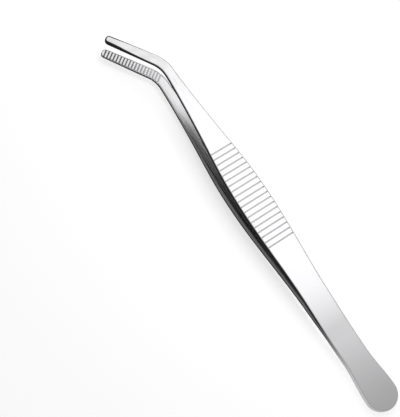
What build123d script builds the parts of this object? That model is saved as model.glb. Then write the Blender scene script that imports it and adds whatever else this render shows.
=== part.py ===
"""Curved-tip tweezers: two bowed spring leaves of stainless strip, welded face to face at the tail.

Each leaf is one stamping. Seen from above it has a round tail, a neck, a wider grip with cross grooves
and a long taper, and at the front it turns sideways in its own plane into a narrow serrated jaw. Seen
from the side it is a strip of even thickness that leaves the weld at a small angle and bows back until
the jaws run parallel. The lower leaf is the mirror image of the upper one in the weld plane.

A leaf is modelled with the weld plane on XY, the tail's end at the origin and the jaws towards +X,
turning to +Y. The finished pair then lies down as it does on a table, on the tail's end and on the
crest of the lower leaf's bow, with the origin under the middle of its box.
"""
import os
from math import asin, atan, atan2, cos, degrees, hypot, radians, sin, sqrt, tan

from build123d import *

# Strip
stock = 1.1

# Outline of a leaf, from the tail's end to the jaw's end
tail_width = 10.2
shoulder_length = 13.4
neck_width = 8.26
neck_length = 19.5
swell_length = 32.5
grip_width = 10.44
taper_length = 47.4
taper_middle = 26.0
taper_middle_width = 6.64
taper_start_pull = 1.3
taper_end_pull = 0.5
jaw_root_width = 3.24
jaw_tip_width = 2.9
jaw_length = 15.9

# Sideways bend between the shank and the jaw
bend_angle = 35.0
bend_radius = 9.8

# Bow of a leaf, seen from the side
weld_length = 24.0
spring_radius = 60.0
jaw_gap = 9.2

# Rims of a leaf
outer_rim_radius = 0.35
inner_rim_chamfer = 0.15

# Cross grooves on the grip
groove_count = 19
groove_pitch = 1.78
groove_width = 0.56
groove_floor_width = 0.16
groove_depth = 0.2
groove_lead = 3.6
groove_end_land = 0.45

# Serrations on the jaw's inner face
tooth_count = 19
tooth_pitch = 1.01
tooth_depth = 0.26
tooth_angle = 90.0
tip_land = 1.1

# Rounded back of the jaw, ground to a cone whose axis lies a little inside the gap
back_axis_drop = 0.3
back_tip_radius = 1.55
nose_radius = 0.9

# Places along the leaf, worked out from the sizes above
neck_start = tail_width / 2 + shoulder_length
neck_end = neck_start + neck_length
grip_middle = neck_end + swell_length
bend_start = grip_middle + taper_length
turn = radians(bend_angle)
jaw_start_x = bend_start + bend_radius * sin(turn)
jaw_start_y = bend_radius * (1 - cos(turn))
jaw_plane = Plane(origin=(jaw_start_x, jaw_start_y, 0), x_dir=(cos(turn), sin(turn), 0), z_dir=(0, 0, 1))
leaf_end = jaw_start_x + jaw_length * cos(turn) + jaw_tip_width / 2
leaf_side = jaw_start_y + jaw_length * sin(turn) + jaw_tip_width / 2
strip_length = bend_start + bend_radius * turn + jaw_length

# The bow: a small arc out of the weld, and a large one back until the leaf runs level at its end
bow_run = leaf_end - weld_length
leave_angle = 2 * degrees(atan(jaw_gap / 2 / bow_run))
bow_radius = bow_run / sin(radians(leave_angle)) - spring_radius
spare = stock


def grip_edge(inset):
    """Draws the left edge from the neck's end over the grip to the bend, moved in by inset."""
    swell = Spline(
        (neck_end, neck_width / 2 - inset),
        (grip_middle, grip_width / 2 - inset),
        tangents=[(1, 0), (1, 0)],
    )
    taper = Spline(
        swell @ 1,
        (grip_middle + taper_middle, taper_middle_width / 2 - inset),
        (bend_start, jaw_root_width / 2 - inset),
        tangents=[(1, 0), (1, 0)],
        tangent_scalars=[taper_start_pull, taper_end_pull],
    )
    return [swell, taper]


def bow_height(x):
    """Height of a leaf's inner face over the weld plane, on the bow."""
    return jaw_gap / 2 - bow_radius + sqrt(bow_radius**2 - (leaf_end - x) ** 2)


def bow_slope(x):
    """Slope of the bow there, in degrees."""
    return degrees(asin((leaf_end - x) / bow_radius))


# Groove cutter: wedge bars square to the bowed outer face, kept a little inside both edges of the grip
groove_flare = (groove_width - groove_floor_width) / 2 / groove_depth
groove_top_width = groove_width + 2 * groove_flare * spare
with BuildPart() as groove_bar:
    with BuildSketch(Plane.XZ):
        with BuildLine():
            Polyline(
                (-groove_floor_width / 2, -groove_depth),
                (groove_floor_width / 2, -groove_depth),
                (groove_top_width / 2, spare),
                (-groove_top_width / 2, spare),
                close=True,
            )
        make_face()
    extrude(amount=grip_width / 2, both=True)

with BuildPart() as groove_cutter:
    for groove in range(groove_count):
        x = grip_middle + groove_lead + (groove - (groove_count - 1) / 2) * groove_pitch
        slope = radians(bow_slope(x))
        crown = (x - stock * sin(slope), 0, bow_height(x) + stock * cos(slope))
        with Locations(Plane(crown, x_dir=(cos(slope), 0, sin(slope)), z_dir=(-sin(slope), 0, cos(slope)))):
            add(groove_bar.part)
    with BuildSketch():
        with BuildLine():
            field_edge = grip_edge(groove_end_land)
            mirror(field_edge, about=Plane.XZ)
            Line((neck_end, groove_end_land - neck_width / 2), (neck_end, neck_width / 2 - groove_end_land))
            Line(
                (bend_start, groove_end_land - jaw_root_width / 2),
                (bend_start, jaw_root_width / 2 - groove_end_land),
            )
        make_face()
    extrude(amount=jaw_gap, mode=Mode.INTERSECT)

# Tooth cutter: a V bar across the jaw, with its edge tooth_depth above XY
tooth_cutter_half = (tooth_depth + spare) * tan(radians(tooth_angle / 2))
with BuildPart() as tooth_cutter:
    with BuildSketch(Plane.XZ):
        with BuildLine():
            Polyline((-tooth_cutter_half, -spare), (0, tooth_depth), (tooth_cutter_half, -spare), close=True)
        make_face()
    extrude(amount=jaw_root_width, both=True)

# Back cutter: what lies outside the cone of the jaw's back, from the bend's end to past the nose
back_root_radius = (
    hypot(jaw_root_width / 2 - outer_rim_radius, stock + back_axis_drop - outer_rim_radius) + outer_rim_radius
)
back_plane = jaw_plane.offset(jaw_gap / 2 - back_axis_drop)
with BuildPart() as back_cutter:
    with BuildSketch(back_plane):
        with Locations(((jaw_length + spare) / 2, 0)):
            Rectangle(jaw_length + spare, 2 * jaw_root_width)
    extrude(amount=stock + back_axis_drop + spare)
    with BuildSketch(back_plane) as back_half:
        with BuildLine():
            Polyline(
                (-spare, 0),
                (-spare, back_root_radius),
                (0, back_root_radius),
                (jaw_length, back_tip_radius),
                (jaw_length, 0),
                close=True,
            )
        make_face()
        fillet(back_half.vertices().group_by(Axis.X)[-1].sort_by(Axis.Y)[-1], nose_radius)
    revolve(axis=Axis(back_plane.origin, back_plane.x_dir), mode=Mode.SUBTRACT)

# The leaf: its outline from above, cut to its bowed strip from the side
with BuildPart() as leaf:
    with BuildSketch() as outline:
        with BuildLine():
            ThreePointArc((tail_width / 2, -tail_width / 2), (0, 0), (tail_width / 2, tail_width / 2))
            shoulder = Spline(
                (tail_width / 2, tail_width / 2), (neck_start, neck_width / 2), tangents=[(1, 0), (1, 0)]
            )
            neck = Line(shoulder @ 1, (neck_end, neck_width / 2))
            grip = grip_edge(0)
            mirror([shoulder, neck, *grip], about=Plane.XZ)
            bend_inside = JernArc(grip[1] @ 1, (1, 0), bend_radius - jaw_root_width / 2, bend_angle)
            bend_outside = JernArc(
                (bend_start, -jaw_root_width / 2), (1, 0), bend_radius + jaw_root_width / 2, bend_angle
            )
            jaw_left = jaw_plane.from_local_coords((jaw_length - jaw_tip_width / 2, jaw_tip_width / 2))
            jaw_end = jaw_plane.from_local_coords((jaw_length, 0))
            jaw_right = jaw_plane.from_local_coords((jaw_length - jaw_tip_width / 2, -jaw_tip_width / 2))
            Line(bend_inside @ 1, jaw_left)
            ThreePointArc(jaw_left, jaw_end, jaw_right)
            Line(jaw_right, bend_outside @ 1)
        make_face()
    extrude(amount=jaw_gap / 2 + stock + spare, both=True)

    with BuildSketch(Plane.XZ) as strip:
        with BuildLine():
            inner_weld = Line((-spare, 0), (weld_length, 0))
            inner_spring = JernArc(inner_weld @ 1, (1, 0), spring_radius, leave_angle)
            inner_bow = JernArc(inner_spring @ 1, inner_spring % 1, bow_radius, -leave_angle)
            outer_weld = Line((-spare, stock), (weld_length, stock))
            outer_spring = JernArc(outer_weld @ 1, (1, 0), spring_radius - stock, leave_angle)
            outer_bow = JernArc(outer_spring @ 1, outer_spring % 1, bow_radius + stock, -leave_angle)
            Line(inner_weld @ 0, outer_weld @ 0)
            Line(inner_bow @ 1, outer_bow @ 1)
        make_face()
    extrude(amount=leaf_side + grip_width, both=True, mode=Mode.INTERSECT)

    # Rims: the outer ones rounded, the inner ones just broken
    outer_faces = leaf.faces().filter_by(lambda face: face.normal_at().Z > 0.9)
    inner_faces = leaf.faces().filter_by(lambda face: face.normal_at().Z < -0.9)
    side_faces = leaf.faces().filter_by(lambda face: abs(face.normal_at().Z) < 0.1)
    outer_rim = outer_faces.edges() & side_faces.edges()
    inner_rim = inner_faces.edges() & side_faces.edges()
    fillet(outer_rim, outer_rim_radius)
    chamfer(inner_rim, inner_rim_chamfer)

    # Jaw: the back ground round, then the teeth, counted back from the tip
    add(back_cutter.part, mode=Mode.SUBTRACT)
    for tooth in range(tooth_count):
        place = jaw_plane.from_local_coords((jaw_length - tip_land - tooth * tooth_pitch, 0))
        with Locations(Plane((place.X, place.Y, bow_height(place.X)), x_dir=jaw_plane.x_dir)):
            add(tooth_cutter.part, mode=Mode.SUBTRACT)

    # Grip: the cross grooves
    add(groove_cutter.part, mode=Mode.SUBTRACT)

# Rest: the tilt at which the tail's end and the crest of the lower bow touch one plane
centre_run = leaf_end - outer_rim_radius
centre_drop = bow_radius + stock - jaw_gap / 2 - outer_rim_radius
rest_tilt = degrees(
    asin((bow_radius + stock - outer_rim_radius) / hypot(centre_run, centre_drop)) - atan2(centre_drop, centre_run)
)
lean = Rot(0, -rest_tilt, 0)
box = Compound([lean * leaf.part, lean * leaf.part.mirror(Plane.XY)]).bounding_box()
rest = Pos(-box.center().X, -box.center().Y, -box.min.Z) * lean

with BuildPart() as upper_arm:
    add(rest * leaf.part)
upper_arm.part.label = "upper_arm"

with BuildPart() as lower_arm:
    add(rest * leaf.part.mirror(Plane.XY))
lower_arm.part.label = "lower_arm"

os.makedirs("parts", exist_ok=True)
export_step(upper_arm.part, "parts/upper_arm.step")
export_step(lower_arm.part, "parts/lower_arm.step")

print("strip length", round(strip_length, 2), "box", box.size, "rest tilt", round(rest_tilt, 3))
print("bow radius", round(bow_radius, 1), "leaves the weld at", round(leave_angle, 2), "degrees")
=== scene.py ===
# %% [markdown]
# A pair of curved-tip tweezers is two stamped leaves of spring steel, welded face to face at the tail.
# Nothing else is on them: no rivet, no pin and no handle scales. So this lesson is about two surfaces
# and one metal.

import bmesh
import bpy
import numpy as np
from mathutils import Matrix, Vector


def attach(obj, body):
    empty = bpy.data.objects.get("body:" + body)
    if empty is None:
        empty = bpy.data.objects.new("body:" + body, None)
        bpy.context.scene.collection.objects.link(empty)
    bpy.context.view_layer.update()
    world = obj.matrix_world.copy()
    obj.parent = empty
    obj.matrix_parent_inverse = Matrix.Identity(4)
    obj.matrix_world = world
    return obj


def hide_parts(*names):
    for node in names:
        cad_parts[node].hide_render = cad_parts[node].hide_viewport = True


MM = 0.001
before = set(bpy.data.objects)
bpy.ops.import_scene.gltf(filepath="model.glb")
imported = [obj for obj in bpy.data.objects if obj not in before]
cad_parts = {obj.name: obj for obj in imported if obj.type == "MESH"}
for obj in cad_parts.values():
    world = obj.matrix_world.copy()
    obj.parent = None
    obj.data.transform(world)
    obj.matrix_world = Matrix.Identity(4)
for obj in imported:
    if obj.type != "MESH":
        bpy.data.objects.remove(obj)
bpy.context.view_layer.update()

# %% [markdown]
# The camera comes first, because everything after it is compared with the photograph through it. It
# could be placed by eye, but its place was worked out instead: from where the straight grip, the bend
# and the evenly spaced grooves fall in the picture. It looks steeply down on the lying tweezers, about
# 20 degrees off the vertical.

# %% Camera
camera_place = Vector((-38.45, 107.88, 294.80)) * MM
camera_forward = Vector((0.15785, -0.31237, -0.93675)).normalized()
camera_up = Vector((0.81269, -0.49776, 0.30293)).normalized()
camera_right = camera_forward.cross(camera_up).normalized()
camera_up = camera_right.cross(camera_forward)
lens = bpy.data.cameras.new("studio_lens")
lens.sensor_fit = "HORIZONTAL"
lens.sensor_width = 36.0
lens.lens = 94.86
lens.clip_start = 0.01
camera = bpy.data.objects.new("studio_camera", lens)
bpy.context.scene.collection.objects.link(camera)
axes = Matrix((camera_right, camera_up, -camera_forward)).transposed().to_4x4()
camera.matrix_world = Matrix.Translation(camera_place) @ axes
bpy.context.scene.camera = camera
print("camera", round(camera_place.length, 3), "m from the origin, lens", lens.lens, "mm")

# %% [markdown]
# The sizes of a leaf, in millimetres, are the ones it is stamped and pressed to. They could be measured
# off the built part's mesh, but a named size says what it is for. The leaf is described on its own
# first, with its tail's end at zero, its length along X and the weld plane at height zero, and only at
# the end is it laid down as it rests.

# %% Sizes of a leaf
stock = 1.1
tail_radius = 5.1
neck_start, neck_end, neck_half = 18.5, 38.0, 4.13
grip_middle, grip_half = 70.5, 5.22
taper_middle, taper_half = 96.5, 3.32
bend_start, bend_radius, bend_angle = 117.9, 9.8, np.radians(35.0)
jaw_length, jaw_root_half, jaw_tip_half = 15.9, 1.62, 1.45
weld_length, spring_radius, jaw_gap = 24.0, 60.0, 9.2
rim_radius, rim_break = 0.35, 0.15
jaw_ahead = np.array([np.cos(bend_angle), np.sin(bend_angle)])
jaw_left = np.array([-np.sin(bend_angle), np.cos(bend_angle)])
bend_centre = np.array([bend_start, bend_radius])
jaw_root = bend_centre - bend_radius * jaw_left
leaf_end = jaw_root[0] + jaw_length * jaw_ahead[0] + jaw_tip_half
print("a leaf reaches", round(leaf_end, 2), "mm from its tail along X")

# %% [markdown]
# From the side a leaf is a strip that leaves the weld on a small arc and then bows back on a large one
# until it runs level at the jaw. A flat leaf could be bent with a modifier. But both arcs are circles,
# so the height of either face is a formula in x alone, and the metal's thickness stays even by itself.

# %% Bow of a leaf
bow_run = leaf_end - weld_length
leave_angle = 2 * np.arctan(jaw_gap / 2 / bow_run)
bow_radius = bow_run / np.sin(leave_angle) - spring_radius


def face_height(x, lift):
    """Height of the face that lies lift above the inner one: flat on the weld, then spring_radius less
    lift minus the root of that radius squared less (x - weld_length) squared, and from the end of that
    arc the bow's top less its radius plus the root of the radius squared less (leaf_end - x) squared."""
    spring = spring_radius - lift
    bow = bow_radius + lift
    spring_run = np.clip(x - weld_length, 0, spring * np.sin(leave_angle))
    on_spring = lift + spring - np.sqrt(spring**2 - spring_run**2)
    on_bow = jaw_gap / 2 - bow_radius + np.sqrt(bow**2 - np.minimum(leaf_end - x, bow_run) ** 2)
    return np.where(x < weld_length + spring * np.sin(leave_angle), on_spring, on_bow)


for place in (0.0, grip_middle, leaf_end):
    height = float(face_height(np.array(place), 0.0))
    print("inner face at x", round(place, 1), "is", round(height, 2), "mm up")

# %% [markdown]
# From above, the blanking die gives the leaf its outline: a round tail, a neck, a swelling grip and a
# long taper, then the sideways bend and the narrow jaw with a round end. Points could be pulled into
# place by hand, but smooth pieces joined end to end keep the long curves fair. The smooth piece is a
# cubic between two points, the curve that a springy ruler nearly takes.

# %% A fair curve
QUARTER = np.pi / 2
CURVE_POINTS, ARC_POINTS, SWEEP_POINTS, JAW_POINTS = 900, 400, 300, 500
taper_start_pull, taper_end_pull = np.array([1.3, 0.0]), np.array([0.5, 0.0])


def fair_curve(start, end, start_pull, end_pull):
    """Cubic between two points: each point and each pull is weighed by its own cubic in t, so that the
    curve starts along start_pull and ends along end_pull."""
    t = np.linspace(0, 1, CURVE_POINTS)[:, None]
    return (
        (2 * t**3 - 3 * t**2 + 1) * start
        + (t**3 - 2 * t**2 + t) * start_pull
        + (3 * t**2 - 2 * t**3) * end
        + (t**3 - t**2) * end_pull
    )


def long_taper(grip, middle, end):
    """Taper from the grip through a middle point to the bend in two cubics. Their shared pull makes the
    curvature run on through the middle, as in a spline through three points."""
    first, last = np.hypot(*(middle - grip)), np.hypot(*(end - middle))
    shared = 3 * ((middle - grip) / first**2 + (end - middle) / last**2)
    shared = (shared - taper_start_pull / first - taper_end_pull / last) / (2 / first + 2 / last)
    front = fair_curve(grip, middle, taper_start_pull * first, shared * first)
    back = fair_curve(middle, end, shared * last, taper_end_pull * last)
    return np.vstack([front, back])


print("a fair curve is drawn with", CURVE_POINTS, "points")

# %% [markdown]
# One edge is drawn from the tail's end to the jaw's end, once for each side. The two sides mirror each
# other up to the bend and differ only by their radius on it. A curve object could hold the outline just
# as well, but here the direction square to the edge is kept with each point too, because the rims are
# rounded along it later.

# %% Outline of a leaf
SAME_PLACE = 1e-6


def straight_edge():
    """Left edge from the tail's end to the bend: a quarter circle and the fair curves after it."""
    turn = np.linspace(0, QUARTER, ARC_POINTS)[:, None]
    tail = tail_radius * np.hstack([1 - np.cos(turn), np.sin(turn)])
    ends = np.array(
        [
            [tail_radius, tail_radius],
            [neck_start, neck_half],
            [neck_end, neck_half],
            [grip_middle, grip_half],
            [taper_middle, taper_half],
            [bend_start, jaw_root_half],
        ]
    )
    steps = np.diff(ends, axis=0)
    pulls = np.abs(steps).sum(axis=1)[:, None] * np.array([1.0, 0.0])
    shoulder = fair_curve(ends[0], ends[1], pulls[0], pulls[0])
    neck = fair_curve(ends[1], ends[2], steps[1], steps[1])
    swell = fair_curve(ends[2], ends[3], pulls[2], pulls[2])
    return np.vstack([tail, shoulder, neck, swell, long_taper(ends[3], ends[4], ends[5])])


def edge_line(side):
    """One edge of the leaf, side +1 for the inside of the bend and -1 for the outside: the straight
    edge, an arc about the bend's centre, a line that narrows evenly, and a quarter circle."""
    sweep = np.linspace(0, bend_angle, SWEEP_POINTS)[:, None]
    bend = bend_centre + (bend_radius - side * jaw_root_half) * np.hstack([np.sin(sweep), -np.cos(sweep)])
    along = np.linspace(0, jaw_length - jaw_tip_half, JAW_POINTS)[:, None]
    half = jaw_root_half + (jaw_tip_half - jaw_root_half) * along / along[-1]
    jaw = jaw_root + along * jaw_ahead + side * half * jaw_left
    turn = np.linspace(0, QUARTER, ARC_POINTS)[:, None]
    round_middle = jaw_root + (jaw_length - jaw_tip_half) * jaw_ahead
    nose = round_middle + jaw_tip_half * (np.sin(turn) * jaw_ahead + side * np.cos(turn) * jaw_left)
    points = np.vstack([straight_edge() * np.array([1.0, side]), bend, jaw, nose])
    points = points[np.r_[True, np.hypot(*np.diff(points, axis=0).T) > SAME_PLACE]]
    ahead = np.gradient(points, axis=0)
    ahead = ahead / np.hypot(*ahead.T)[:, None]
    outward = side * np.stack([-ahead[:, 1], ahead[:, 0]], axis=1)
    outward[0], outward[-1] = (-1.0, 0.0), jaw_ahead
    return points, outward


edges = {side: edge_line(side) for side in (1, -1)}
print("each edge is drawn with", len(edges[1][0]), "points")

# %% [markdown]
# The surface is a grid. Its first parameter is a row of stations along the leaf, and its second runs
# once round the leaf's section. A station is a line across the leaf, given by a point and the
# direction ahead. Even spacing would be simplest, but it would either blur the teeth or waste faces on
# the plain shank. So the stations crowd together at the grooves, at the teeth and round the two ends,
# and stand further apart where the leaf is plain.

# %% Where the stations stand
groove_count, groove_pitch, groove_lead = 19, 1.78, 3.6
tooth_count, tooth_pitch, tip_land = 19, 1.01, 1.1
groove_places = grip_middle + groove_lead + (np.arange(groove_count) - (groove_count - 1) / 2) * groove_pitch
tooth_places = jaw_length - tip_land - np.arange(tooth_count) * tooth_pitch
groove_half_steps = np.array([0.08, 0.14, 0.2, 0.26, 0.32, 0.4, 0.62])
groove_steps = np.concatenate([[-groove_pitch / 2], -groove_half_steps[::-1], [0], groove_half_steps])
tooth_half_steps = np.array([0.04, 0.13, 0.22, 0.26, 0.3, 0.38])
tooth_steps = np.concatenate([[-0.5], -tooth_half_steps[::-1], [0], tooth_half_steps])
print(len(groove_steps), "stations to a groove and", len(tooth_steps), "to a tooth")

# %% [markdown]
# Through the bend the stations turn early, so that they lie along the teeth, which all point the same
# way. Turning them evenly with the bend would be simpler, but then the first teeth would cut across
# the grid and come out ragged.

# %% Stations along the leaf
PLAIN_STEP = 0.8
TAIL_STATIONS, FAN_STATIONS, NOSE_STATIONS = 26, 36, 22
fan_start, fan_end = bend_start - 5.0, bend_start + 2.1
AFTER_FAN, BEFORE_NOSE, CLOSEST = 0.02, 0.5, 0.012


def along_centre(s):
    """Point of the centre line s mm from the tail's end, straight and then on the bend's circle."""
    swing = np.maximum(s - bend_start, 0) / bend_radius
    x = np.where(s < bend_start, s, bend_start + bend_radius * np.sin(swing))
    y = np.where(s < bend_start, 0, bend_radius * (1 - np.cos(swing)))
    return np.stack([x, y], axis=1)


def plain_stretch(start, end):
    """Evenly spaced stations between two places, about PLAIN_STEP apart."""
    return np.linspace(start, end, int((end - start) / PLAIN_STEP) + 1)


tail_s = tail_radius * (1 - np.cos(np.linspace(0, QUARTER, TAIL_STATIONS)))
grooved_s = (groove_places[:, None] + groove_steps).ravel()
neck_s = plain_stretch(tail_radius, grooved_s[0])[1:-1]
shank_s = plain_stretch(grooved_s[-1], fan_start)[1:]
fan_s = np.linspace(fan_start, fan_end, FAN_STATIONS)[1:]
before_jaw = np.concatenate([tail_s, neck_s, grooved_s, shank_s, fan_s])
share = np.clip((before_jaw - fan_start) / (fan_end - fan_start), 0, 1)
turn_before_jaw = bend_angle * share**2 * (3 - 2 * share)
point_before_jaw = along_centre(before_jaw)
jaw_from = float((point_before_jaw[-1] - jaw_root) @ jaw_ahead)
toothed = np.sort((tooth_places[:, None] + tooth_steps).ravel())
toothed = toothed[(toothed > jaw_from + AFTER_FAN) & (toothed < jaw_length - BEFORE_NOSE)]
nose_at = jaw_length - jaw_tip_half * (1 - np.sin(np.linspace(0, QUARTER, NOSE_STATIONS)))
jaw_at = np.sort(np.concatenate([toothed, nose_at]))
jaw_at = jaw_at[np.r_[np.diff(jaw_at) > CLOSEST, True]]
station_point = np.vstack([point_before_jaw, jaw_root + jaw_at[:, None] * jaw_ahead])
station_turn = np.concatenate([turn_before_jaw, np.full(len(jaw_at), bend_angle)])
station_ahead = np.stack([np.cos(station_turn), np.sin(station_turn)], axis=1)
along_jaw = (station_point - jaw_root) @ jaw_ahead
travel = np.concatenate([[0], np.cumsum(np.hypot(*np.diff(station_point, axis=0).T))])
print(len(station_point), "stations over", round(travel[-1], 2), "mm of strip")

# %% [markdown]
# Each station's line is now cut off where it meets the two edges. Solving for the crossing on every
# piece of the outline would need a case for each. It is enough to look along the drawn edge for the
# first point that lies ahead of the station, and to share out the last step.

# %% Where the stations meet the edges
TOUCH = 1e-9


def meet_edge(side):
    """Where each station's line meets an edge: the edge's distance ahead of the station changes sign
    there, and the point and its outward direction are shared out between the two nearest drawn points."""
    points, outward = edges[side]
    ahead = ((points[None] - station_point[:, None]) @ station_ahead[:, :, None])[:, :, 0]
    later = np.clip(np.argmax(ahead >= -TOUCH, axis=1), 1, len(points) - 1)
    rows = np.arange(len(station_point))
    before, after = ahead[rows, later - 1], ahead[rows, later]
    part = np.clip(-before / (after - before), 0, 1)[:, None]
    met = points[later - 1] * (1 - part) + points[later] * part
    out = outward[later - 1] * (1 - part) + outward[later] * part
    met[0], out[0] = points[0], outward[0]
    met[-1], out[-1] = points[-1], outward[-1]
    return met, out / np.hypot(*out.T)[:, None]


left, left_out = meet_edge(1)
right, right_out = meet_edge(-1)
half_width = np.hypot(*(left - right).T) / 2
print("widest half width", round(half_width.max(), 3), "mm")

# %% [markdown]
# The grip has soft cross grooves in its outer face, which stop short of the rims. The jaw's inner face
# has sharp teeth across it, for grasping. On the real leaf both are pressed or cut in. Booleans with a
# row of bars could do the same, but a depth that is taken off a smooth face leaves the grid whole.

# %% Grooves and teeth
groove_width, groove_depth = 0.56, 0.2
groove_land, groove_run_out = 0.4, 0.2
tooth_depth, tooth_flank = 0.26, 1.0


def groove_relief(x, inset):
    """Depth of the cross grooves: the depth times the squared cosine of a half turn over the width, and
    nothing on the land along the edges."""
    off = x[..., None] - groove_places
    inside = np.abs(off) < groove_width / 2
    share = np.clip((inset - groove_land) / groove_run_out, 0, 1)
    return (groove_depth * np.cos(np.pi * off / groove_width) ** 2 * inside).max(axis=-1) * share


def tooth_relief(v):
    """Height of the tooth spaces: the depth less the distance from the nearest space's middle."""
    off = np.abs(v[..., None] - tooth_places).min(axis=-1)
    return np.maximum(tooth_depth - tooth_flank * off, 0)


print("grooves", groove_depth, "mm deep, teeth", tooth_depth, "mm deep")

# %% [markdown]
# The jaw's back is ground round, to a cone whose axis lies a little inside the gap, and the cone ends
# in a small nose radius. It could be cut with a boolean, but the grid stays clean if the cone is simply
# a height that the outer face may not pass.

# %% Back of the jaw
back_drop, back_tip_radius, nose_radius = 0.3, 1.55, 0.9
back_root_radius = rim_radius + np.hypot(jaw_root_half - rim_radius, stock + back_drop - rim_radius)
LEAST_SQUARE, GRIND_FROM, NO_LIMIT = 0.01, -0.3, 99.0


def back_radius(v):
    """Radius of the back at v along the jaw: a straight cone, and at its end a quarter circle."""
    v = np.clip(v, 0, jaw_length)
    cone = back_root_radius + (back_tip_radius - back_root_radius) * v / jaw_length
    past = np.clip(v - (jaw_length - nose_radius), 0, nose_radius)
    return cone - nose_radius + np.sqrt(nose_radius**2 - past**2)


def back_height(points, v):
    """Height of the cone over a point: its axis plus the root of its radius squared less the distance
    from the axis squared. Behind the jaw there is no limit."""
    off = (points - jaw_root) @ jaw_left
    rise = np.sqrt(np.maximum(back_radius(v) ** 2 - off**2, LEAST_SQUARE))
    return np.where(v > GRIND_FROM, jaw_gap / 2 - back_drop + rise, NO_LIMIT)


print("back radius", round(back_root_radius, 3), "mm at the root,", back_tip_radius, "mm at the tip")

# %% [markdown]
# Now the heights of the two faces. Both start from the bow. The outer one is lowered by its round rim,
# by the grooves and by the ground back, and the inner one is raised by its broken rim and by the tooth
# spaces, whichever takes more. Inset is how far a point lies inside the edge.

# %% Heights of the two faces


def outer_heights(points, inset):
    """Outer face: the least of the bow less the rim's circle, the bow less the grooves, and the cone."""
    v = (points - jaw_root) @ jaw_ahead
    short = np.maximum(rim_radius - inset, 0)
    rim = rim_radius - np.sqrt(np.maximum(rim_radius**2 - short**2, 0))
    face = face_height(points[:, 0], stock)
    height = np.minimum(face - rim, face - groove_relief(points[:, 0], inset))
    return np.minimum(height, back_height(points, v))


def inner_heights(points, inset):
    """Inner face: the bow plus the larger of the rim's 45 degree break and the tooth spaces."""
    v = (points - jaw_root) @ jaw_ahead
    base = face_height(points[:, 0], 0.0)
    return base + np.maximum(np.maximum(rim_break - inset, 0), tooth_relief(v))


print("outer and inner faces lie", stock, "mm apart on the weld")

# %% [markdown]
# Going round the section from the left: the rounded outer rim, the flank, the flat outer face, the
# other flank and rim, the side wall, the broken inner rim, the inner face and back up. Each row of the
# grid keeps to one of these, so that no rim is blurred by the grid, and the row where the flat ends
# follows the edge of the ground back.

# %% Rows round the section
RIM_ROWS, FLANK_ROWS, FLAT_ROWS, WALL_ROWS, BREAK_ROWS, INNER_ROWS = 7, 6, 9, 3, 3, 9
LEAST_CREASE_SQUARE, LEAST_FLAT_INSET, LEAST_WALL, DEEP_INSET = 0.04, 0.5, 0.02, 1.0
FLAT_INSET_PLACES, FLAT_INSETS = [0, 100, bend_start], [1.1, 1.0, 0.5]
before_round = np.minimum(along_jaw, jaw_length - jaw_tip_half)
crease_square = back_radius(before_round) ** 2 - (stock + back_drop) ** 2
crease = np.sqrt(np.maximum(crease_square, LEAST_CREASE_SQUARE))
jaw_half = np.interp(along_jaw, [0, jaw_length - jaw_tip_half], [jaw_root_half, jaw_tip_half])
plain_inset = np.interp(station_point[:, 0], FLAT_INSET_PLACES, FLAT_INSETS)
flat_inset = np.where(along_jaw > 0, np.maximum(jaw_half - crease, LEAST_FLAT_INSET), plain_inset)


def edge_row(side, inset):
    """Points a given distance inside an edge: the edge less that distance along its outward direction."""
    met, out = (left, left_out) if side > 0 else (right, right_out)
    return met - np.reshape(inset, (-1, 1)) * out


def half_section(side):
    """Rows from the end of the flat outer face over the rim and down the wall to the inner face."""
    rows = []
    for part in np.linspace(1, 0, FLANK_ROWS)[:-1]:
        inset = rim_radius + (flat_inset - rim_radius) * part
        points = edge_row(side, inset)
        rows.append((points, outer_heights(points, inset)))
    for angle in np.linspace(0, QUARTER, RIM_ROWS):
        inset = np.full(len(left), rim_radius * (1 - np.sin(angle)))
        points = edge_row(side, inset)
        rows.append((points, outer_heights(points, inset)))
    wall = edge_row(side, 0.0)
    foot = inner_heights(wall, np.zeros(len(left)))
    top = np.maximum(rows[-1][1], foot + LEAST_WALL)
    for part in np.linspace(0, 1, WALL_ROWS + 1)[1:]:
        rows.append((wall, top * (1 - part) + foot * part))
    for part in np.linspace(0, 1, BREAK_ROWS)[1:]:
        inset = np.full(len(left), rim_break * part)
        points = edge_row(side, inset)
        rows.append((points, inner_heights(points, inset)))
    return rows


def across_rows(start, end, count, heights):
    """Rows evenly spaced between two rows of points, without the two themselves."""
    deep = np.full(len(start), DEEP_INSET)
    rows = []
    for part in np.linspace(0, 1, count)[1:-1]:
        points = start * (1 - part) + end * part
        rows.append((points, heights(points, deep)))
    return rows


left_rows, right_rows = half_section(1), half_section(-1)
outer_rows = across_rows(left_rows[0][0], right_rows[0][0], FLAT_ROWS, outer_heights)
inner_rows = across_rows(right_rows[-1][0], left_rows[-1][0], INNER_ROWS, inner_heights)
section = left_rows[::-1] + outer_rows + right_rows + inner_rows
grid = np.stack([np.column_stack([points, heights]) for points, heights in section], axis=1)
print("grid of", grid.shape[0], "stations by", grid.shape[1], "rows")

# %% [markdown]
# A leaf at rest lies tilted, because the pair touches the table with the tail's end and with the crest
# of the lower leaf's bow. Both touching places are circles seen from the side, so the tilt is the slope
# of the line that touches both. After the tilt the pair is moved so that the middle of its box is over
# the origin and its lowest point lies at height zero.

# %% The two arms at rest
centre_run = leaf_end - rim_radius
centre_drop = bow_radius + stock - jaw_gap / 2 - rim_radius
crest_angle = np.arcsin((bow_radius + stock - rim_radius) / np.hypot(centre_run, centre_drop))
rest_tilt = crest_angle - np.arctan2(centre_drop, centre_run)


def lean(points):
    """Turn about the Y axis by the rest tilt, tail down."""
    x, y, z = points[..., 0], points[..., 1], points[..., 2]
    cos, sin = np.cos(rest_tilt), np.sin(rest_tilt)
    return np.stack([x * cos - z * sin, y, x * sin + z * cos], axis=-1)


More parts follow.
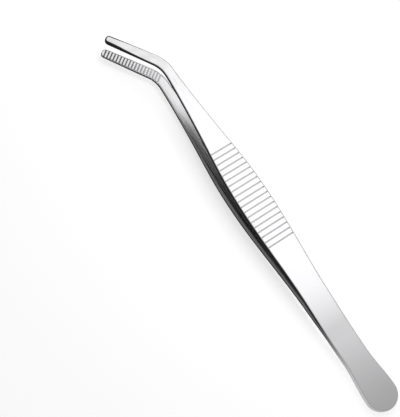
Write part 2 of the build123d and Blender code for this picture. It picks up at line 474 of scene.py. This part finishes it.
upper = lean(grid)
lower = lean(grid * np.array([1, 1, -1]))
both = np.concatenate([upper.reshape(-1, 3), lower.reshape(-1, 3)])
shift = -(both.min(axis=0) + both.max(axis=0)) / 2
shift[2] = -both[:, 2].min()
print("rest tilt", round(np.degrees(rest_tilt), 3), "degrees, box", np.ptp(both, axis=0).round(3), "mm")

# %% [markdown]
# The metal will need to know where it is on the leaf: its finish differs between the faces and the side
# walls, and painted shade darkens the side walls and the recesses. Painting masks by hand would be the
# usual way. Here the grid knows all of this already, so each point is given a few marks, which the
# material reads as attributes.

# %% Marks for the metal
TINY = 1e-12


def steepness(points):
    """Sine of the slope of the section's line, its rise over its length from the row before to the row
    after: 0 on the faces, also in grooves and teeth because they run across, and 1 on the side walls."""
    step = np.roll(points, -1, axis=1) - np.roll(points, 1, axis=1)
    return np.abs(step[..., 2]) / np.maximum(np.linalg.norm(step, axis=-1), TINY)


inner_from = 2 * len(left_rows) + len(outer_rows)
inner_face = np.zeros(grid.shape[:2])
inner_face[:, inner_from:] = inner_face[:, [0, inner_from - 1]] = 1.0
groove_share = groove_relief(grid[..., 0], rim_radius + groove_land) / groove_depth
tooth_share = tooth_relief((grid[..., :2] - jaw_root) @ jaw_ahead) / tooth_depth
station_left = np.stack([-station_ahead[:, 1], station_ahead[:, 0]], axis=1)
marks = {
    "along": np.repeat(travel[:, None], grid.shape[1], axis=1),
    "across": np.einsum("ijk,ik->ij", grid[:, :, :2] - station_point[:, None], station_left),
    "inner_face": inner_face,
    "steep": steepness(grid),
    "recess": np.where(inner_face > 0, tooth_share, groove_share),
}
for key, values in marks.items():
    print("mark", key, "runs from", round(float(values.min()), 2), "to", round(float(values.max()), 2))

# %% [markdown]
# The grid becomes a mesh in one go. Making it face by face in a loop would be slow, so foreach_set takes
# whole arrays. The section closes on itself, and at the two ends all its rows meet, so doubled points
# are merged there and the leaf is one closed skin. The lower leaf is a mirror image, which would turn
# its faces inside out, so the two leaves are wound in opposite directions. The volume that is printed
# is above zero only where the faces point outwards.

# %% The two leaves
SEW_DISTANCE = 0.0002 * MM


def closed_piece(name, points, flipped):
    """Mesh of the grid: a face between each two stations and each two rows, the last row joined to the
    first, and the two ends drawn together into closed noses."""
    stations, rows = points.shape[:2]
    index = np.arange(stations * rows).reshape(stations, rows)
    following = np.roll(index, -1, axis=1)
    faces = np.stack([index[:-1], index[1:], following[1:], following[:-1]], axis=-1).reshape(-1, 4)
    if flipped:
        faces = faces[:, ::-1]
    mesh = bpy.data.meshes.new(name)
    mesh.vertices.add(stations * rows)
    mesh.vertices.foreach_set("co", ((points + shift) * MM).ravel())
    mesh.loops.add(faces.size)
    mesh.loops.foreach_set("vertex_index", faces.ravel())
    mesh.polygons.add(len(faces))
    mesh.polygons.foreach_set("loop_start", np.arange(0, faces.size, 4))
    mesh.update(calc_edges=True)
    for key, values in marks.items():
        layer = mesh.attributes.new(key, "FLOAT", "POINT")
        layer.data.foreach_set("value", values.astype(np.float32).ravel())
    sewn = bmesh.new()
    sewn.from_mesh(mesh)
    bmesh.ops.remove_doubles(sewn, verts=sewn.verts, dist=SEW_DISTANCE)
    inside = sewn.calc_volume(signed=True) / MM**3
    sewn.to_mesh(mesh)
    sewn.free()
    mesh.polygons.foreach_set("use_smooth", np.ones(len(mesh.polygons), bool))
    mesh.update()
    piece = bpy.data.objects.new(name, mesh)
    bpy.context.scene.collection.objects.link(piece)
    print(name, "holds", round(inside), "cubic mm in", len(mesh.polygons), "faces")
    return piece


upper_piece = closed_piece("upper_leaf", upper, True)
lower_piece = closed_piece("lower_leaf", lower, False)
for piece, node in ((upper_piece, "upper_arm"), (lower_piece, "lower_arm")):
    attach(piece, "root")
    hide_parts(node)
    print(piece.name, "stands in for", node)

# %% [markdown]
# Stainless tweezers are tumbled and polished, so the outer faces are nearly mirrors. The inner faces
# keep a fine lengthwise grind and are darkened along the shank with painted shade, and the side walls
# are painted dark as shade, except at the tail. Three materials would show a seam at every rim. One
# material that reads the marks runs smoothly from one finish into the next. Its nodes are made with a
# few helpers, which work on whichever node tree is in hand.

# %% Helpers for shader nodes
steel = bpy.data.materials.new("polished_steel")
steel.use_nodes = True
nodes, links = steel.node_tree.nodes, steel.node_tree.links


def new_node(kind, **settings):
    """A new shader node with its settings."""
    made = nodes.new(kind)
    for key, value in settings.items():
        setattr(made, key, value)
    return made


def mark(name):
    """Socket that reads one of the marks on the surface."""
    return new_node("ShaderNodeAttribute", attribute_name=name).outputs["Fac"]


def scaled(socket, start, end, to_start=0.0, to_end=1.0):
    """The socket's range from start to end drawn smoothly onto another range."""
    made = new_node("ShaderNodeMapRange", interpolation_type="SMOOTHSTEP")
    made.inputs["From Min"].default_value, made.inputs["From Max"].default_value = start, end
    made.inputs["To Min"].default_value, made.inputs["To Max"].default_value = to_start, to_end
    links.new(socket, made.inputs["Value"])
    return made.outputs["Result"]


def stretch(start, end, to_start=0.0, to_end=1.0):
    """A value that changes smoothly over a stretch of the strip, given in mm from the tail's end."""
    return scaled(mark("along"), start, end, to_start, to_end)


def reckon(operation, first, second):
    """Sum, product or the like of two sockets or numbers."""
    made = new_node("ShaderNodeMath", operation=operation)
    for slot, value in zip(made.inputs, (first, second)):
        if hasattr(value, "node"):
            links.new(value, slot)
        else:
            slot.default_value = value
    return made.outputs["Value"]


def times(first, second):
    """Product of two sockets or numbers."""
    return reckon("MULTIPLY", first, second)


def plus(first, second):
    """Sum of two sockets or numbers."""
    return reckon("ADD", first, second)


def minus(first, second):
    """Difference of two sockets or numbers."""
    return reckon("SUBTRACT", first, second)


# Several of a Mix node's sockets share one name, so the plain numbers go by their place
MIX_FIRST, MIX_SECOND, MIX_RESULT = 2, 3, 0


def mixed(share, first, second):
    """First where share is 0, second where it is 1, and evenly between them."""
    made = new_node("ShaderNodeMix", data_type="FLOAT")
    links.new(share, made.inputs["Factor"])
    links.new(first, made.inputs[MIX_FIRST])
    links.new(second, made.inputs[MIX_SECOND])
    return made.outputs[MIX_RESULT]


print("working on", steel.name)

# %% [markdown]
# A grind is a noise drawn out along the strip. Brushed metal is often made with an image or with
# anisotropic shading. Noise on the marks needs neither, and follows the strip round its bend. There are
# three: the grind of the inner faces, the fainter grain of the mirror faces, and a broad mottle.

# %% Grain of the steel
# Each grain's scale along the strip, its scale across the strip, and its detail
GRIND_GRAIN, MIRROR_GRAIN, MOTTLE_GRAIN = (0.06, 5.0, 3.0), (0.5, 14.0, 2.0), (0.25, 0.9, 3.0)
COARSE_SPREAD, MIRROR_SPREAD = (0.35, 0.65), (0.3, 0.7)


def streaks(along_scale, across_scale, detail):
    """Noise drawn out along the strip: the marks along and across, each at its own scale."""
    place = new_node("ShaderNodeCombineXYZ")
    links.new(times(mark("along"), along_scale), place.inputs["X"])
    links.new(times(mark("across"), across_scale), place.inputs["Y"])
    noise = new_node("ShaderNodeTexNoise")
    noise.inputs["Scale"].default_value = 1.0
    noise.inputs["Detail"].default_value = detail
    links.new(place.outputs["Vector"], noise.inputs["Vector"])
    return noise.outputs["Fac"]


grind = scaled(streaks(*GRIND_GRAIN), *COARSE_SPREAD)
mirror_grain = scaled(streaks(*MIRROR_GRAIN), *MIRROR_SPREAD)
mottle = scaled(streaks(*MOTTLE_GRAIN), *COARSE_SPREAD)
print("three grains, in", len(nodes), "nodes")

# %% [markdown]
# How bright each finish is, with painted light and shade laid on it. The outer faces carry a painted
# highlight, a bright band just past the weld, and painted shade that darkens them a little towards the
# jaw, where a random mottle is added as well. The inner faces carry painted shade: dark along the shank
# and lighter at the jaw, under their grind. Grooves and tooth spaces are darkened by painted shade, and
# the tooth spaces the more so at the tip. One tone for each face would be simpler, but the photograph
# shows these changes, and a stretch of the strip in millimetres puts each of them where it belongs.

# %% Tone of the outer faces
OUTER_TONE, GRAIN_TONE, PAINTED_HIGHLIGHT_TONE = 0.765, 0.03, 0.14
JAW_SHADE, MOTTLE_LOSS, GROOVE_SHADE = 0.1, 0.1, 0.2
HIGHLIGHT_RISE, HIGHLIGHT_FALL, TO_JAW = (23.0, 32.0), (34.0, 52.0), (98.0, 130.0)
recess = mark("recess")
# A painted highlight: the outer tone rises in a band just past the weld.
painted_highlight = times(stretch(*HIGHLIGHT_RISE, 0.0, PAINTED_HIGHLIGHT_TONE), stretch(*HIGHLIGHT_FALL, 1.0, 0.0))
# Painted shade: the outer tone falls towards the jaw, with a random mottle on top.
jaw_shade_and_mottle = times(stretch(*TO_JAW), plus(JAW_SHADE, times(mottle, MOTTLE_LOSS)))
outer_tone = minus(plus(OUTER_TONE, times(mirror_grain, GRAIN_TONE)), jaw_shade_and_mottle)
# The painted highlight is added here, and painted shade darkens the grooves.
outer_tone = minus(plus(outer_tone, painted_highlight), times(recess, GROOVE_SHADE))
print("outer faces", OUTER_TONE, "and up to", round(OUTER_TONE + GRAIN_TONE + PAINTED_HIGHLIGHT_TONE, 3), "where buffed")

# %% Tone of the inner faces
SHADED_SHANK_TONE, GRIND_TONE, LESS_SHADE_AT_JAW, LEAST_TONE = 0.2, 0.22, 0.36, 0.02
TO_LESS_SHADE, TO_SHADED_TEETH, TOOTH_SHADE = (98.0, 112.0), (122.0, 138.0), 0.6
# Painted shade between the leaves: the inner faces are dark along the shank and lighter at the jaw; the grind
# noise on them is their own grain.
inner_tone = plus(plus(SHADED_SHANK_TONE, times(grind, GRIND_TONE)), times(stretch(*TO_LESS_SHADE), LESS_SHADE_AT_JAW))
# Painted shade in the tooth spaces, darkest towards the tip.
inner_tone = minus(inner_tone, times(recess, stretch(*TO_SHADED_TEETH, 0.0, TOOTH_SHADE)))
inner_tone = reckon("MAXIMUM", inner_tone, LEAST_TONE)
print("inner faces", SHADED_SHANK_TONE, "on the shank and", round(SHADED_SHANK_TONE + LESS_SHADE_AT_JAW, 2), "at the jaw")

# %% [markdown]
# The side walls take over where the surface stands steep, and on the ground jaw a little sooner. Their
# tone is painted: nearly black, as painted shade, apart from the tail, where the two walls lie together
# and a painted reflection makes them as bright as the faces. A plain metal would do for the faces, but
# it mirrors everything at a glancing angle, which would lighten the walls. The specular tint tones that
# down.

# %% Tone of the side walls
WALL_STEEP, JAW_WALL_STEEP, TO_JAW_WALL = (0.35, 0.75), (0.15, 0.5), (116.0, 136.0)
WALL_SHADE_TONE, TAIL_WALL_REFLECTION_TONE, FROM_TAIL_WALL = 0.025, 0.7, (12.0, 34.0)
GLANCING = 0.42
COOL_TINT = {"Red": 0.995, "Green": 0.995, "Blue": 1.01}
shader = nodes["Principled BSDF"]
shader.inputs["Metallic"].default_value = 1.0
shader.inputs["Specular Tint"].default_value = (GLANCING, GLANCING, GLANCING, 1)
jaw_sides = times(scaled(mark("steep"), *JAW_WALL_STEEP), stretch(*TO_JAW_WALL))
steep = reckon("MAXIMUM", scaled(mark("steep"), *WALL_STEEP), jaw_sides)
# The wall tone is painted: near-black painted shade on the walls and the jaw's flanks, and a bright painted
# reflection on the tail's walls.
wall_tone = stretch(*FROM_TAIL_WALL, TAIL_WALL_REFLECTION_TONE, WALL_SHADE_TONE)
tone = mixed(steep, mixed(mark("inner_face"), outer_tone, inner_tone), wall_tone)
colour = new_node("ShaderNodeCombineColor")
for channel, tint in COOL_TINT.items():
    links.new(times(tone, tint), colour.inputs[channel])
links.new(colour.outputs["Color"], shader.inputs["Base Color"])
print("side walls", WALL_SHADE_TONE, "and", TAIL_WALL_REFLECTION_TONE, "at the tail")

# %% [markdown]
# Last, how sharply the metal mirrors. The polished faces are sharpest, and the grind and the walls blur
# the reflection. The tail is left a little satin, which softens the kink in the reflection where the
# spring leaves the weld. The grind could be modelled as real scratches, but a trace of bump is enough
# to let it catch the light.

# %% Sharpness of the steel
POLISHED, GRAIN_BLUR, GRIND_BLUR, WALL_BLUR = 0.14, 0.05, 0.16, 0.18
TAIL_BLUR, FROM_SATIN_TAIL = 0.2, (24.0, 60.0)
BUMP_STRENGTH, BUMP_HEIGHT = 0.12, 0.04 * MM
blur = plus(POLISHED, times(mirror_grain, GRAIN_BLUR))
blur = plus(blur, times(mark("inner_face"), times(grind, GRIND_BLUR)))
blur = plus(blur, times(steep, WALL_BLUR))
blur = plus(blur, stretch(*FROM_SATIN_TAIL, TAIL_BLUR, 0.0))
links.new(blur, shader.inputs["Roughness"])
bump = new_node("ShaderNodeBump")
bump.inputs["Strength"].default_value = BUMP_STRENGTH
bump.inputs["Distance"].default_value = BUMP_HEIGHT
links.new(grind, bump.inputs["Height"])
links.new(bump.outputs["Normal"], shader.inputs["Normal"])
for piece in (upper_piece, lower_piece):
    piece.data.materials.append(steel)
print("steel has", len(nodes), "nodes")

# %% [markdown]
# The studio is a pale horizon and a dim ceiling, a pale floor, and one soft lamp close over the
# tweezers. A polished face shows whatever it mirrors, so the room matters more than the lamp's power.
# A picture of a room could be wrapped round the scene, but nothing needs to be seen in it. So the
# world's strength depends on the height of the direction alone: bright low down, dim overhead.

# %% Room
HORIZON, CEILING = 0.9, 0.39
CEILING_FROM, CEILING_FULL = 0.12, 0.4
scene = bpy.context.scene
scene.view_settings.view_transform = "Standard"
world = bpy.data.worlds.new("studio")
scene.world = world
world.use_nodes = True
nodes, links = world.node_tree.nodes, world.node_tree.links
sky = nodes["Background"]
sky.inputs["Color"].default_value = (1, 1, 1, 1)
direction = new_node("ShaderNodeTexCoord")
upward = new_node("ShaderNodeSeparateXYZ")
links.new(direction.outputs["Generated"], upward.inputs["Vector"])
brightness = scaled(upward.outputs["Z"], CEILING_FROM, CEILING_FULL, HORIZON, CEILING)
links.new(brightness, sky.inputs["Strength"])
print("horizon", HORIZON, "and ceiling", CEILING)

# %% [markdown]
# The floor is matte white paper. White paper alone would need more light than the metal can take, so
# it glows a little, but only for rays that look at it, straight or in a mirror. The light that falls
# on the tweezers stays the same, and their shadow stays on the floor.

# %% Floor
FLOOR_HALF, PAPER_TONE, FLOOR_GLOW = 2.0, 0.9, 0.53
corners = np.array([(-1, -1, 0), (1, -1, 0), (1, 1, 0), (-1, 1, 0)]) * FLOOR_HALF
floor_mesh = bpy.data.meshes.new("floor")
floor_mesh.from_pydata(corners.tolist(), [], [(0, 1, 2, 3)])
floor = bpy.data.objects.new("floor", floor_mesh)
scene.collection.objects.link(floor)
paper = bpy.data.materials.new("white_paper")
paper.use_nodes = True
nodes, links = paper.node_tree.nodes, paper.node_tree.links
matte = nodes["Principled BSDF"]
matte.inputs["Base Color"].default_value = (PAPER_TONE, PAPER_TONE, PAPER_TONE, 1)
matte.inputs["Roughness"].default_value = 1.0
matte.inputs["Specular IOR Level"].default_value = 0.0
matte.inputs["Emission Color"].default_value = (1, 1, 1, 1)
rays = new_node("ShaderNodeLightPath")
seen = reckon("MAXIMUM", rays.outputs["Is Camera Ray"], rays.outputs["Is Glossy Ray"])
seen = reckon("MAXIMUM", seen, rays.outputs["Is Transmission Ray"])
links.new(times(seen, FLOOR_GLOW), matte.inputs["Emission Strength"])
floor_mesh.materials.append(paper)
print("floor glows by", FLOOR_GLOW, "where it is looked at")

# %% [markdown]
# The lamp is what the outer faces mirror, so it is what makes them white. It is long and narrow, like
# the tweezers, and its glow fades towards the tail, as the light does in the photograph. A gradient
# painted on the metal would do that for one camera only. On the lamp it moves as a reflection does.

# %% Lamp
LAMP_SIZE = (0.21, 0.064)
LAMP_PLACE = (0.01, -0.04, 0.08)
LAMP_FADE = (-0.082, -0.03)
LAMP_WATTS = 0.04
lamp = bpy.data.lights.new("soft_lamp", "AREA")
lamp.shape = "RECTANGLE"
lamp.size, lamp.size_y = LAMP_SIZE
lamp.energy = LAMP_WATTS
lamp.use_nodes = True
nodes, links = lamp.node_tree.nodes, lamp.node_tree.links
glow = nodes["Emission"]
where = new_node("ShaderNodeNewGeometry")
place = new_node("ShaderNodeSeparateXYZ")
links.new(where.outputs["Position"], place.inputs["Vector"])
links.new(scaled(place.outputs["X"], *LAMP_FADE), glow.inputs["Strength"])
lamp_stand = bpy.data.objects.new("soft_lamp", lamp)
lamp_stand.location = LAMP_PLACE
scene.collection.objects.link(lamp_stand)
print("lamp of", LAMP_WATTS, "W at", [round(value / MM) for value in LAMP_PLACE], "mm")
